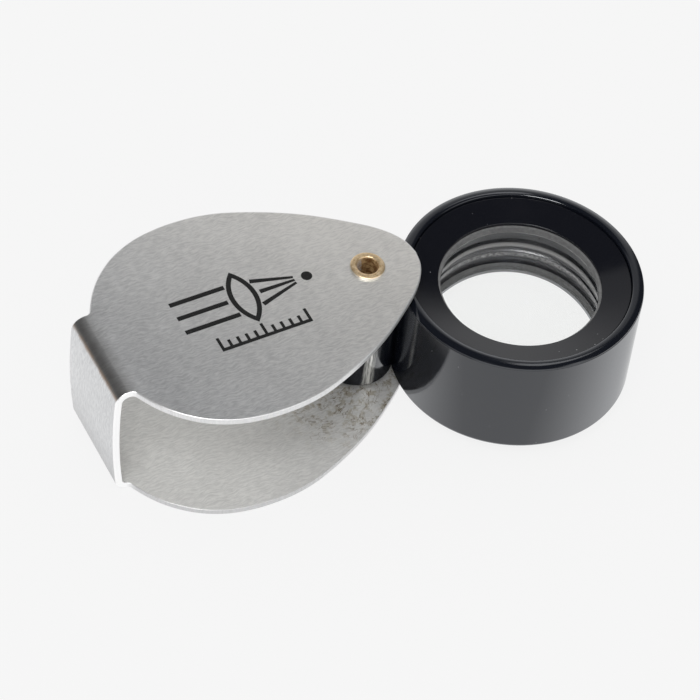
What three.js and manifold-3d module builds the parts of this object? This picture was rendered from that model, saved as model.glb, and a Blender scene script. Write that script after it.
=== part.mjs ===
// Folding pocket magnifier (viewing loupe), millimetres, +Z up.
//
// A strip of sheet steel is folded into a case with two teardrop plates. A
// hollow rivet near the plates' tip holds the black lens barrel, which swings
// out of the case about the rivet's axis. The barrel holds two plano-convex
// lenses, a spacer between them, and a dished retaining ring on top.
//
// Origin: on the outer face of the lower plate, inside its wide round end.
// +X runs from the folded back towards the pivot and the tip.

import * as THREE from 'three';
import { mergeVertices } from 'three/addons/utils/BufferGeometryUtils.js';
import Module from 'manifold-3d';

const wasm = await Module();
wasm.setup();

// ---------------------------------------------------------------- dimensions
// names ending in _R are radii

// case
const CASE_HEIGHT = 16.0;      // outside of lower plate to outside of upper plate
const SHEET = 0.75;            // sheet thickness
const STRIP_HALF = 5.5;        // half width of the folded back
const BEND_R = 1.5;            // outside of both folds
const BEND_START_X = -11.2;    // where the upper plate starts to fold
const LAP_X = -9.5;            // the strip runs on into both plates up to here
const UPPER_BEND = 87.3;       // degrees turned by the upper fold
const BACK_BOW = 9.9;          // degrees turned by the bowed back
const BEND_STEPS = 7;
const BOW_STEPS = 8;

// half outline of a teardrop plate, [x, y] from the tip round to the folded back
const HALF_OUTLINE = [
  [24.43, 0.00], [24.11, 1.69], [23.23, 3.30], [21.89, 4.79], [20.39, 6.03],
  [18.95, 7.11], [17.28, 8.30], [15.68, 9.31], [13.85, 10.31], [11.84, 11.26],
  [9.69, 12.15], [7.35, 12.94], [4.81, 13.42], [2.35, 13.54], [0.00, 13.40],
  [-2.69, 12.84], [-5.39, 11.62], [-7.68, 9.83], [-9.35, 7.84], [-10.70, STRIP_HALF],
];
const OUTLINE_STEPS = 38;      // divisions of the smoothed half outline

// pivot
const PIVOT_X = 18.65;
const SWING = -22.1;           // degrees from +X to the opened barrel
const ARM = 16.65;             // pivot axis to optical axis
const PLATE_HOLE_R = 1.50;
const SINK_R = 2.0;            // countersink under the lower plate
const SINK_DEPTH = 0.60;
const BOSS_R = 4.1;
const BOSS_HOLE_R = 1.52;
const BOSS_INSET = 1.10;       // boss ends below and above the case's outer faces
const WASHER_R = 3.2;
const WASHER = 0.30;           // thickness

const SHANK_R = 1.45;
const RIVET_BORE_R = 1.12;
const RIVET_HEAD_R = 1.86;
// flared foot of the rivet, [radius, z] from the bore out to the shank
const RIVET_FOOT = [
  [RIVET_BORE_R, 0.42], [1.50, 0.02], [1.86, 0.08], [SHANK_R, 0.57],
];
// rolled head, [radius, height above the case] from the shank to the bore
const RIVET_HEAD = [
  [SHANK_R, 0], [RIVET_HEAD_R, 0], [1.88, 0.12], [1.79, 0.27],
  [1.62, 0.36], [1.32, 0.35], [1.17, 0.24], [RIVET_BORE_R, 0.05],
];

// barrel
const BARREL_R = 13.1;
const BARREL_BOTTOM = 1.5;
const BARREL_TOP = 14.3;
const RIM_CROWN_R = 1.55;      // the rim falls away outwards on this radius
const RIM_CREST = 0.4;         // counterbore wall out to the rim's highest line
const RIM_BEVEL = 0.12;        // fall from the crest in to the counterbore
const RIM_EDGE_DROP = 0.41;    // fall from the crest to the straight outer wall
const FOOT_ROUND = 0.5;
const COUNTERBORE_R = 11.85;
const COUNTERBORE_Z = 12.0;
const LENS_BORE_R = 9.25;
const SEAT_Z = 3.38;           // lower lens rests here
const LIP_R = 8.5;             // clear radius of the lower lip
const LIP_FLARE = 1.3;         // the underside flares down from the lip

// retaining ring
const RING_R = 11.80;
const RING_TOP = 13.94;        // a little below the rim
const RING_EDGE_DROP = 0.02;   // outer edge below RING_TOP
const DISH_DEPTH = 0.95;       // hole edge below RING_TOP
const HOLE_R = 8.75;
const HOLE_EDGE = 0.37;        // thickness of the ring at its hole
const RECESS_R = 9.32;         // the upper lens sits in the ring's underside

// glass
const LENS_R = 9.2;
const LENS_EDGE = 1.3;         // edge thickness
const LENS_CLEAR_R = 8.45;     // convex face ends here, flat land outside it
const LENS_CURVE_R = 40.0;     // curvature of the convex face
const LENS_STEPS = 7;          // divisions of the convex face's profile

// inside of the spacer, [radius, z] from the top down: thin bead, wide
// channel, rounded bead, narrow groove and plain land
const SPACER_BORE = [
  [8.95, 11.13], [8.72, 11.03], [8.72, 10.85], [8.95, 10.75], [8.95, 9.30],
  [8.70, 8.90], [8.60, 8.50], [8.66, 8.10], [8.80, 7.77], [8.80, 7.40],
  [9.00, 7.13], [8.78, 6.92], [8.78, 6.10], [8.95, 5.85],
];
const SPACER_END_R = 8.95;     // inner radius at both ends

// fitting gap between stacked pieces, and the levels that follow from it
const GAP = 0.02;
const DISH_Z = RING_TOP - DISH_DEPTH;
const RECESS_Z = DISH_Z - HOLE_EDGE;
const LOWER_PLANE_Z = SEAT_Z + GAP;      // plane faces of the two lenses
const UPPER_PLANE_Z = RECESS_Z - GAP;

// facets per turn
const SEG_BARREL = 64;
const SEG_LENS = 56;
const SEG_BOSS = 48;
const SEG_PIN = 32;

// overrun of cutting tools past the faces they open
const HOLE_OVERRUN = 1;
const SINK_OVERRUN = 0.3;

// ----------------------------------------------------------------- materials

function standard(color, roughness, metalness) {
  return new THREE.MeshStandardMaterial({ color, roughness, metalness });
}

function makeGlass() {
  return new THREE.MeshStandardMaterial({
    color: 0xf4f8f8, roughness: 0.02, metalness: 0, transparent: true, opacity: 0.35,
  });
}

// colour, roughness, metalness
const MATERIALS = {
  steel: standard(0xa9a8a4, 0.38, 1),
  brass: standard(0xb58a4a, 0.35, 1),
  blackGloss: standard(0x0b0b0c, 0.18, 0),
  blackRing: standard(0x0d0d0e, 0.22, 0),
  spacerMetal: standard(0x8f9092, 0.30, 1),
  fibre: standard(0x2b2522, 0.70, 0),
  glass: makeGlass(),
};

// ------------------------------------------------------------------- helpers

const radians = THREE.MathUtils.degToRad;

// surface geometry to a solid; positions alone decide which vertices merge
function toSolid(geometry) {
  geometry.deleteAttribute('normal');
  geometry.deleteAttribute('uv');
  const merged = mergeVertices(geometry, 1e-4);
  const positions = new Float32Array(merged.attributes.position.array);
  const vertProperties = positions.map((value) => Math.round(value * 1e5) / 1e5);
  const triVerts = new Uint32Array(merged.index.array);
  return new wasm.Manifold(new wasm.Mesh({ numProp: 3, vertProperties, triVerts }));
}

// solid back to surface geometry
function toGeometry(solid) {
  const mesh = solid.getMesh();
  const geometry = new THREE.BufferGeometry();
  geometry.setAttribute('position', new THREE.Float32BufferAttribute(mesh.vertProperties, 3));
  geometry.setIndex(new THREE.Uint32BufferAttribute(mesh.triVerts, 1));
  geometry.computeVertexNormals();
  return geometry;
}

function toVectors(points) {
  return points.map(([x, y]) => new THREE.Vector2(x, y));
}

// body of revolution about +Z from [radius, z] points
function lathe(points, segments) {
  return new THREE.LatheGeometry(toVectors(points), segments).rotateX(Math.PI / 2);
}

// closed ring section, listed anticlockwise in the radius-z plane
function ring(points, segments) {
  return lathe([...points, points[0]], segments);
}

function cylinder(radius, bottom, top, segments) {
  return new THREE.CylinderGeometry(radius, radius, top - bottom, segments)
    .rotateX(Math.PI / 2)
    .translate(0, 0, (bottom + top) / 2);
}

// arc in the radius-z plane, angles in degrees
function arc(centreR, centreZ, radius, from, to, steps) {
  return Array.from({ length: steps + 1 }, (_, i) => {
    const angle = radians(from + (to - from) * i / steps);
    return [centreR + radius * Math.cos(angle), centreZ + radius * Math.sin(angle)];
  });
}

function extrude(points, depth) {
  const shape = new THREE.Shape(points);
  return new THREE.ExtrudeGeometry(shape, { depth, bevelEnabled: false, curveSegments: 1 });
}

// each mesh gets its own copy of the material
function add(group, name, geometry, material) {
  const mesh = new THREE.Mesh(geometry, material.clone());
  mesh.name = name;
  group.add(mesh);
}

// ---------------------------------------------------------------------- case

// teardrop outline, anticlockwise from the back's -Y corner
function plateOutline() {
  const half = new THREE.SplineCurve(toVectors(HALF_OUTLINE)).getPoints(OUTLINE_STEPS);
  const mirrored = half.slice(1).reverse().map(({ x, y }) => new THREE.Vector2(x, -y));
  return [...mirrored, ...half];
}

function lowerPlate() {
  return extrude(plateOutline(), SHEET);
}

// the upper plate carries a tab out to the start of its fold
function upperPlate() {
  const points = [
    new THREE.Vector2(BEND_START_X, -STRIP_HALF),
    ...plateOutline(),
    new THREE.Vector2(BEND_START_X, STRIP_HALF),
  ];
  return extrude(points, SHEET).translate(0, 0, CASE_HEIGHT - SHEET);
}

// outer and inner [x, z] lines of the upper fold, bowed back and lower fold
function backSection() {
  const cos = (degrees) => Math.cos(radians(degrees));
  const sin = (degrees) => Math.sin(radians(degrees));
  const bowEnd = UPPER_BEND + BACK_BOW;
  // the bow takes up the height that the two folds leave
  const foldsHeight = BEND_R * (1 - cos(UPPER_BEND) + 1 + cos(bowEnd));
  const bowRadius = (CASE_HEIGHT - foldsHeight) / (cos(UPPER_BEND) - cos(bowEnd));
  const arcs = [
    { radius: BEND_R, from: 0, to: UPPER_BEND, steps: BEND_STEPS },
    { radius: bowRadius, from: UPPER_BEND, to: bowEnd, steps: BOW_STEPS },
    { radius: BEND_R, from: bowEnd, to: 180, steps: BEND_STEPS },
  ];

  const outer = [[BEND_START_X, CASE_HEIGHT]];
  const inner = [[BEND_START_X, CASE_HEIGHT - SHEET]];
  for (const { radius, from, to, steps } of arcs) {
    const [startX, startZ] = outer.at(-1);
    for (let i = 1; i <= steps; i++) {
      const angle = from + (to - from) * i / steps;
      const x = startX - radius * (sin(angle) - sin(from));
      const z = startZ + radius * (cos(angle) - cos(from));
      outer.push([x, z]);
      inner.push([x + SHEET * sin(angle), z - SHEET * cos(angle)]);
    }
  }
  // the lower end lands exactly on the lower plate's faces
  outer.at(-1)[1] = 0;
  inner.at(-1)[1] = SHEET;
  return { outer, inner };
}

function backStrip() {
  const { outer, inner } = backSection();
  const section = [
    [LAP_X, CASE_HEIGHT], ...outer, [LAP_X, 0],
    [LAP_X, SHEET], ...inner.reverse(), [LAP_X, CASE_HEIGHT - SHEET],
  ];
  return extrude(toVectors(section), 2 * STRIP_HALF)
    .rotateX(Math.PI / 2)
    .translate(0, STRIP_HALF, 0);
}

// cone cutter that starts below the lower plate
function countersink() {
  const slope = (SINK_R - PLATE_HOLE_R) / SINK_DEPTH;
  return lathe([
    [0, -SINK_OVERRUN],
    [SINK_R + SINK_OVERRUN * slope, -SINK_OVERRUN],
    [PLATE_HOLE_R, SINK_DEPTH],
    [0, SINK_DEPTH],
  ], SEG_PIN);
}

function foldedCase() {
  const hole = cylinder(PLATE_HOLE_R, -HOLE_OVERRUN, CASE_HEIGHT + HOLE_OVERRUN, SEG_PIN);
  return toGeometry(toSolid(backStrip())
    .add(toSolid(upperPlate()))
    .add(toSolid(lowerPlate()))
    .subtract(toSolid(hole.translate(PIVOT_X, 0, 0)))
    .subtract(toSolid(countersink().translate(PIVOT_X, 0, 0))));
}

// --------------------------------------------------------------------- pivot

function pivotRivet() {
  const head = RIVET_HEAD.map(([radius, height]) => [radius, CASE_HEIGHT + height]);
  return ring([...RIVET_FOOT, ...head], SEG_PIN).translate(PIVOT_X, 0, 0);
}

function frictionWasher(bottom) {
  const top = bottom + WASHER;
  return ring([
    [BOSS_HOLE_R, bottom], [WASHER_R, bottom], [WASHER_R, top], [BOSS_HOLE_R, top],
  ], SEG_PIN).translate(PIVOT_X, 0, 0);
}

// -------------------------------------------------------------------- barrel
// The pieces from here on lie in the swinging group: the pivot is at its
// origin and the optical axis at x = ARM.

function barrelTube() {
  const footCentreR = BARREL_R - FOOT_ROUND;
  const crestR = COUNTERBORE_R + RIM_CREST;
  return ring([
    [LIP_R, BARREL_BOTTOM + LIP_FLARE],
    [COUNTERBORE_R, BARREL_BOTTOM],
    ...arc(footCentreR, BARREL_BOTTOM + FOOT_ROUND, FOOT_ROUND, -90, 0, 3),
    [BARREL_R, BARREL_TOP - RIM_EDGE_DROP],
    ...arc(crestR, BARREL_TOP - RIM_CROWN_R, RIM_CROWN_R, 60, 90, 4),
    [COUNTERBORE_R, BARREL_TOP - RIM_BEVEL],
    [COUNTERBORE_R, COUNTERBORE_Z],
    [LENS_BORE_R, COUNTERBORE_Z],
    [LENS_BORE_R, SEAT_Z],
    [LIP_R, SEAT_Z],
  ], SEG_BARREL).translate(ARM, 0, 0);
}

function lensBarrel() {
  const boss = cylinder(BOSS_R, BOSS_INSET, CASE_HEIGHT - BOSS_INSET, SEG_BOSS);
  const bossHole = cylinder(BOSS_HOLE_R, 0, CASE_HEIGHT, SEG_PIN);
  return toGeometry(toSolid(barrelTube()).add(toSolid(boss)).subtract(toSolid(bossHole)));
}

// retaining ring, its top dished down towards the hole
function retainingRing() {
  const foot = COUNTERBORE_Z + GAP;
  return ring([
    [RECESS_R, foot],
    [RING_R, foot],
    [RING_R, RING_TOP - RING_EDGE_DROP],
    [HOLE_R, DISH_Z],
    [HOLE_R, RECESS_Z],
    [RECESS_R, RECESS_Z],
  ], SEG_BARREL).translate(ARM, 0, 0);
}

// -------------------------------------------------------------------- optics

// plano-convex lens: plane face at planeZ, convex face up (+1) or down (-1)
function lens(planeZ, direction) {
  const sag = (radius) => LENS_CURVE_R - Math.sqrt(LENS_CURVE_R ** 2 - radius ** 2);
  const apex = LENS_EDGE + sag(LENS_CLEAR_R);
  const profile = [[0, 0], [LENS_R, 0], [LENS_R, LENS_EDGE]];
  for (let i = 0; i <= LENS_STEPS; i++) {
    const radius = LENS_CLEAR_R * (1 - i / LENS_STEPS);
    profile.push([radius, apex - sag(radius)]);
  }
  const placed = profile.map(([radius, height]) => [radius, planeZ + direction * height]);
  // mirroring turns the profile over, so its order is restored
  if (direction < 0) placed.reverse();
  return lathe(placed, SEG_LENS).translate(ARM, 0, 0);
}

// spacer between the lens edges, turned inside
function spacerRing() {
  const bottom = LOWER_PLANE_Z + LENS_EDGE + GAP;
  const top = UPPER_PLANE_Z - LENS_EDGE - GAP;
  return ring([
    [SPACER_END_R, bottom], [LENS_R, bottom], [LENS_R, top], [SPACER_END_R, top],
    ...SPACER_BORE,
  ], SEG_LENS).translate(ARM, 0, 0);
}

// ------------------------------------------------------------------ assembly

const loupe = new THREE.Group();
const caseGroup = new THREE.Group();
const lensGroup = new THREE.Group();
lensGroup.position.set(PIVOT_X, 0, 0);
lensGroup.rotation.z = radians(SWING);
loupe.add(caseGroup, lensGroup);

const lowerWasherZ = SHEET + GAP;
const upperWasherZ = CASE_HEIGHT - SHEET - GAP - WASHER;
add(caseGroup, 'folded_case', foldedCase(), MATERIALS.steel);
add(caseGroup, 'pivot_rivet', pivotRivet(), MATERIALS.brass);
add(caseGroup, 'lower_friction_washer', frictionWasher(lowerWasherZ), MATERIALS.fibre);
add(caseGroup, 'upper_friction_washer', frictionWasher(upperWasherZ), MATERIALS.fibre);

add(lensGroup, 'lens_barrel', lensBarrel(), MATERIALS.blackGloss);
add(lensGroup, 'retaining_ring', retainingRing(), MATERIALS.blackRing);
add(lensGroup, 'lower_lens', lens(LOWER_PLANE_Z, 1), MATERIALS.glass);
add(lensGroup, 'upper_lens', lens(UPPER_PLANE_Z, -1), MATERIALS.glass);
add(lensGroup, 'spacer_ring', spacerRing(), MATERIALS.spacerMetal);

export default loupe;
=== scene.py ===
"""A folding pocket magnifier, with its lens barrel swung out of a folded sheet steel case.

The case is two flat plates parallel to XY, the lower one resting at z = 0, joined by a fold at
their -x end. A hollow rivet near their +x end is the pivot, parallel to Z. The barrel turns on
it and reaches past the plates on the +x, -y side. Sizes are in millimetres until they become
mesh coordinates; angles say whether they are degrees or radians.
"""
import math
import random
import bpy
import bmesh
from mathutils import Vector, Matrix
from mathutils.geometry import delaunay_2d_cdt


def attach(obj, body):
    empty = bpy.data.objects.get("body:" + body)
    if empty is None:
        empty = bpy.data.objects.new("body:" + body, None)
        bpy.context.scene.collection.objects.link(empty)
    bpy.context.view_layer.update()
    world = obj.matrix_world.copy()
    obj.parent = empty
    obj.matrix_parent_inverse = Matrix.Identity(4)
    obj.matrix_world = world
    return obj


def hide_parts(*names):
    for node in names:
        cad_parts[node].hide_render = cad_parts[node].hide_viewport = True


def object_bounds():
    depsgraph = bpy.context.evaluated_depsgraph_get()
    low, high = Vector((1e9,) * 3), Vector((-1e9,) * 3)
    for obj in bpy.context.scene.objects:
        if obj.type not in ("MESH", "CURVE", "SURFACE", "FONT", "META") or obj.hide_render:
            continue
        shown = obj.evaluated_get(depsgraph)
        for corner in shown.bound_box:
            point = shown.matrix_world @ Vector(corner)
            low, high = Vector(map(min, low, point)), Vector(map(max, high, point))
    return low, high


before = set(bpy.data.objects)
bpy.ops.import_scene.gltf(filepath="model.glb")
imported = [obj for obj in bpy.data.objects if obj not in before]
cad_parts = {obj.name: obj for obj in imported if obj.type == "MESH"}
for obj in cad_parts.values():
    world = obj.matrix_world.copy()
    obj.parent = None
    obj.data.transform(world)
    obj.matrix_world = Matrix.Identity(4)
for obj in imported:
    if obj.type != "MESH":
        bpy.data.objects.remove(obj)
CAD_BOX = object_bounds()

random.seed(7)  # fixes any random draw; the shapes below make none themselves
MM = 0.001
DEGREES = 180 / math.pi
scene = bpy.context.scene

# ---------------------------------------------------------------- driving dimensions
CASE_HEIGHT = 16.0
SHEET = 0.75
HALF_SHEET = SHEET / 2
BEND_RADIUS = 1.5            # outer radius of the upper and lower bends
BEND_START_X = -11.2         # where the upper plate ends and the fold begins
UPPER_BEND = 87.3            # degrees turned by the upper bend
BACK_BOW = 9.9               # degrees turned by the bowed back between the bends

# Plate outline from its +x tip to the corner with the strip: (x, half width)
HALF_OUTLINE = [
    (24.43, 0.00), (24.11, 1.69), (23.23, 3.30), (21.89, 4.79), (20.39, 6.03),
    (18.95, 7.11), (17.28, 8.30), (15.68, 9.31), (13.85, 10.31), (11.84, 11.26),
    (9.69, 12.15), (7.35, 12.94), (4.81, 13.42), (2.35, 13.54), (0.00, 13.40),
    (-2.69, 12.84), (-5.39, 11.62), (-7.68, 9.83), (-9.35, 7.84), (-10.70, 5.50),
]

PIVOT_X = 18.65
PIVOT = (PIVOT_X, 0.0)
SWING = math.radians(-22.1)  # the barrel's turn about the pivot, from +x
ARM = 16.65                  # pivot to lens axis
LENS_X = PIVOT_X + ARM * math.cos(SWING)
LENS_Y = ARM * math.sin(SWING)
LENS_AXIS = (LENS_X, LENS_Y)
LEAN = 0.036                 # radians the barrel tips about X
LEAN_Z = CASE_HEIGHT / 2     # height of the tipping axis
SLIP_X, SLIP_Y = 0.05, -0.06 # the tipped barrel's shift
PIVOT_BORE_R = 1.52          # through the washers and the boss

# The camera's axes in the world; the reflected room is laid out from its view direction
VIEW_RIGHT = Vector((0.88523, -0.45611, 0.09128))
VIEW_UP = Vector((0.30325, 0.71468, 0.63029))
VIEW_DIRECTION = Vector((0.35272, 0.53027, -0.77097))


# ---------------------------------------------------------------- mesh helpers
class MeshDraft:
    """Collects vertices, faces and per-corner normals and UVs, then makes one object."""

    def __init__(self):
        self.verts, self.faces, self.normals, self.uvs, self.edge = [], [], [], [], []

    def vert(self, point, edge=0.0):
        self.verts.append(tuple(value * MM for value in point))
        self.edge.append(edge)
        return len(self.verts) - 1

    def face(self, indices, normals, uvs=None):
        self.faces.append(list(indices))
        self.normals.append(normals)
        self.uvs.append(uvs or [(0, 0)] * len(indices))

    def build(self, name):
        mesh = bpy.data.meshes.new(name)
        mesh.from_pydata(self.verts, [], self.faces)
        bm = bmesh.new()
        bm.from_mesh(mesh)
        bmesh.ops.recalc_face_normals(bm, faces=bm.faces)
        if bm.calc_volume(signed=True) < 0:
            bmesh.ops.reverse_faces(bm, faces=bm.faces)
        bm.to_mesh(mesh)
        bm.free()
        # faces may have been turned round, so corners are matched by vertex
        flat_uvs, normals = [], []
        for polygon, face, face_normals, face_uvs in zip(
                mesh.polygons, self.faces, self.normals, self.uvs):
            corner_of = {vertex: k for k, vertex in enumerate(face)}
            for vertex in polygon.vertices:
                corner = corner_of[vertex]
                flat_uvs.extend(face_uvs[corner])
                normals.append(tuple(Vector(face_normals[corner]).normalized()))
        mesh.uv_layers.new(name="UVMap").data.foreach_set("uv", flat_uvs)
        mesh.attributes.new("edge", "FLOAT", "POINT").data.foreach_set("value", self.edge)
        mesh.polygons.foreach_set("use_smooth", [True] * len(mesh.polygons))
        mesh.normals_split_custom_set(normals)
        mesh.update()
        obj = bpy.data.objects.new(name, mesh)
        scene.collection.objects.link(obj)
        return obj


def register(obj, rides, replaces):
    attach(obj, rides)
    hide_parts(replaces)


def arc(centre_r, centre_z, radius, start, end, steps):
    """Profile points along an arc; start and end in degrees."""
    angles = [math.radians(start + (end - start) * i / steps) for i in range(steps + 1)]
    return [(centre_r + radius * math.cos(angle), centre_z + radius * math.sin(angle))
            for angle in angles]


def rounded(points, radii, steps=5):
    """Closed r-z polygon with its corners rounded, one radius per corner."""
    out = []
    for i, radius in enumerate(radii):
        corner = Vector(points[i])
        before = Vector(points[i - 1]) - corner
        after = Vector(points[(i + 1) % len(points)]) - corner
        angle = before.angle(after)
        if radius <= 0 or angle > math.radians(176):
            out.append(tuple(corner))
            continue
        setback = min(radius / math.tan(angle / 2), before.length * 0.48, after.length * 0.48)
        fitted = setback * math.tan(angle / 2)
        start = corner + before.normalized() * setback
        end = corner + after.normalized() * setback
        bisector = (before.normalized() + after.normalized()).normalized()
        centre = corner + bisector * (fitted / math.sin(angle / 2))
        arm0, arm1 = start - centre, end - centre
        angle0 = math.atan2(arm0.y, arm0.x)
        sweep = math.atan2(arm0.x * arm1.y - arm0.y * arm1.x, arm0.dot(arm1))
        for k in range(steps + 1):
            t = angle0 + sweep * k / steps
            out.append((centre.x + fitted * math.cos(t), centre.y + fitted * math.sin(t)))
    return out


def lathe(name, profile, centre, segments=160, closed=True, smooth=38.0):
    """Body of revolution from (radius, z) points, anticlockwise round the solid.

    An open profile starts and ends on the axis. Corners sharper than smooth degrees stay crisp.
    """
    points = [profile[0]]
    for point in profile[1:]:
        if math.dist(point, points[-1]) > 1e-5:
            points.append(point)
    if closed and math.dist(points[0], points[-1]) < 1e-5:
        points.pop()
    count = len(points)
    spans = count if closed else count - 1
    span_normals, lengths = [], []
    for i in range(spans):
        (r0, z0), (r1, z1) = points[i], points[(i + 1) % count]
        length = math.hypot(r1 - r0, z1 - z0)
        span_normals.append(((z1 - z0) / length, -(r1 - r0) / length))
        lengths.append(length)

    def corner_normal(k, own):
        """Normal at profile point k, seen from the span own."""
        if not closed and k in (0, count - 1):
            return (0.0, math.copysign(1.0, span_normals[own][1]))
        before = (k - 1) % spans
        (r0, z0), (r1, z1) = span_normals[before], span_normals[k]
        dot = max(-1, min(1, r0 * r1 + z0 * z1))
        if math.degrees(math.acos(dot)) > smooth:
            return span_normals[own]
        r = r0 * lengths[before] + r1 * lengths[k]
        z = z0 * lengths[before] + z1 * lengths[k]
        size = math.hypot(r, z)
        return (r / size, z / size)

    draft = MeshDraft()
    turns = [2 * math.pi * k / segments for k in range(segments)]
    cosines = [math.cos(turn) for turn in turns]
    sines = [math.sin(turn) for turn in turns]
    grid = []
    for r, z in points:
        if r < 1e-9:
            grid.append([draft.vert((*centre, z))] * segments)
        else:
            grid.append([draft.vert((centre[0] + r * c, centre[1] + r * s, z))
                         for c, s in zip(cosines, sines)])
    along = 0.0
    for i in range(spans):
        j = (i + 1) % count
        ends = (corner_normal(i, i), corner_normal(j, i))
        far = along + lengths[i]
        for k in range(segments):
            q = (k + 1) % segments
            indices = [grid[i][k], grid[i][q], grid[j][q], grid[j][k]]
            normals = [(ends[e][0] * cosines[c], ends[e][0] * sines[c], ends[e][1])
                       for e, c in ((0, k), (0, q), (1, q), (1, k))]
            left, right = k / segments, (k + 1) / segments
            uvs = [(left, along), (right, along), (right, far), (left, far)]
            # quads on the axis become triangles
            kept = [c for c in range(4) if indices[c] not in indices[:c]]
            draft.face([indices[c] for c in kept], [normals[c] for c in kept],
                       [uvs[c] for c in kept])
        along = far
    return draft.build(name)


# ---------------------------------------------------------------- the fold
# The sheet is drawn flat in a blank: s runs along it from the start of the fold (the upper
# plate is at negative s), y across it, h off its mid-surface. Heading is the angle turned.
HEADING_1 = math.radians(UPPER_BEND)
HEADING_2 = math.radians(UPPER_BEND + BACK_BOW)
# the bow's outer radius makes the three bends add up to the case height
BOW_RADIUS = ((CASE_HEIGHT - BEND_RADIUS * (1 - math.cos(HEADING_1) + 1 + math.cos(HEADING_2)))
              / (math.cos(HEADING_1) - math.cos(HEADING_2)))


def lay_bends():
    """Bends as (s, heading at start, heading at end, outer radius, outer x, outer z)."""
    bends = []
    x, z, s = BEND_START_X, CASE_HEIGHT, 0.0
    for radius, start, end in ((BEND_RADIUS, 0.0, HEADING_1),
                               (BOW_RADIUS, HEADING_1, HEADING_2),
                               (BEND_RADIUS, HEADING_2, math.pi)):
        bends.append((s, start, end, radius, x, z))
        x -= radius * (math.sin(end) - math.sin(start))
        z += radius * (math.cos(end) - math.cos(start))
        s += (radius - HALF_SHEET) * (end - start)
    return bends, s, x


BENDS, STRIP_LENGTH, LOWER_X = lay_bends()
BEND_STEPS = (16, 22, 16)


def outer_point(s):
    """Heading, x and z of the sheet's outer face at s."""
    if s <= 0:
        return 0.0, BEND_START_X - s, CASE_HEIGHT
    if s >= STRIP_LENGTH:
        return math.pi, LOWER_X + s - STRIP_LENGTH, 0.0
    for s0, start, end, radius, x, z in BENDS:
        mid_radius = radius - HALF_SHEET
        if s <= s0 + mid_radius * (end - start) + 1e-9:
            break
    heading = start + (s - s0) / mid_radius
    return (heading, x - radius * (math.sin(heading) - math.sin(start)),
            z + radius * (math.cos(heading) - math.cos(start)))


def fold(s, y, h):
    """Blank coordinates to the folded sheet."""
    heading, x, z = outer_point(s)
    depth = h - HALF_SHEET
    return (x - math.sin(heading) * depth, y, z + math.cos(heading) * depth)


def sheet_normal(s, edge_direction, outward, sideways):
    """Normal from its share off the outer face and its share along a blank direction."""
    heading = outer_point(s)[0]
    outer = Vector((-math.sin(heading), 0, math.cos(heading)))
    tangent = Vector((-math.cos(heading), 0, -math.sin(heading)))
    side = tangent * edge_direction[0] + Vector((0, 1, 0)) * edge_direction[1]
    return outer * outward + side * sideways


# ---------------------------------------------------------------- the blank's outline
OUTLINE_STEPS = 152
CORNER_REACH = 0.42          # how far a softened corner runs each way
CORNER_STEPS = 7


def spline(points, steps):
    """Uniform Catmull-Rom through the points, its ends repeated."""
    last = len(points) - 1
    out = []
    for k in range(steps + 1):
        place = last * k / steps
        i = int(math.floor(place))
        w = place - i
        near = [points[max(0, min(last, i + step))] for step in (-1, 0, 1, 2)]

        def blend(a, b, c, d):
            v0, v1 = (c - a) * 0.5, (d - b) * 0.5
            return ((2 * b - 2 * c + v0 + v1) * w ** 3
                    + (-3 * b + 3 * c - 2 * v0 - v1) * w ** 2 + v0 * w + b)
        out.append(tuple(blend(*values) for values in zip(*near)))
    return out


def soften(outline, index):
    """A quadratic curve in place of a corner, and the outline points it starts and ends by."""
    corner = Vector(outline[index])

    def walk(step):
        left, k, at = CORNER_REACH, index, corner
        while True:
            following = Vector(outline[(k + step) % len(outline)])
            length = (following - at).length
            if length >= left:
                return at + (following - at) * (left / length), k
            left -= length
            at = following
            k += step
    start, first = walk(-1)
    end, last = walk(1)
    curve = []
    for q in range(CORNER_STEPS + 1):
        t = q / CORNER_STEPS
        curve.append(tuple(start * (1 - t) ** 2 + corner * 2 * t * (1 - t) + end * t * t))
    return curve, first, last


def blank_outline():
    """The blank, clockwise in (s, y); the strip's edges are the two long gaps."""
    half = spline(HALF_OUTLINE, OUTLINE_STEPS)
    upper = [(BEND_START_X - x, -y) for x, y in reversed(half)]
    upper += [(BEND_START_X - x, y) for x, y in half[1:]]
    lower = [(STRIP_LENGTH + max(0.0, x - LOWER_X), y) for x, y in reversed(half)]
    lower += [(STRIP_LENGTH + max(0.0, x - LOWER_X), -y) for x, y in half[1:]]
    outline = upper + lower
    count = len(outline)
    # the corners between the strip and the plates are softened
    curves, covered = {}, set()
    for i in (0, len(upper) - 1, len(upper), count - 1):
        curves[i], first, last = soften(outline, i)
        covered.update((first + k) % count for k in range((last - first) % count + 1))
    smooth = []
    for k, point in enumerate(outline):
        if k in curves:
            smooth += curves[k]
        elif k not in covered:
            smooth.append(point)
    return smooth


def strip_stations():
    """Places along s where a line of points crosses the strip."""
    stations = []
    for (s0, start, end, radius, _, _), steps in zip(BENDS, BEND_STEPS):
        length = (radius - HALF_SHEET) * (end - start)
        stations += [s0 + length * k / steps for k in range(steps)]
    return stations + [STRIP_LENGTH]


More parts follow.
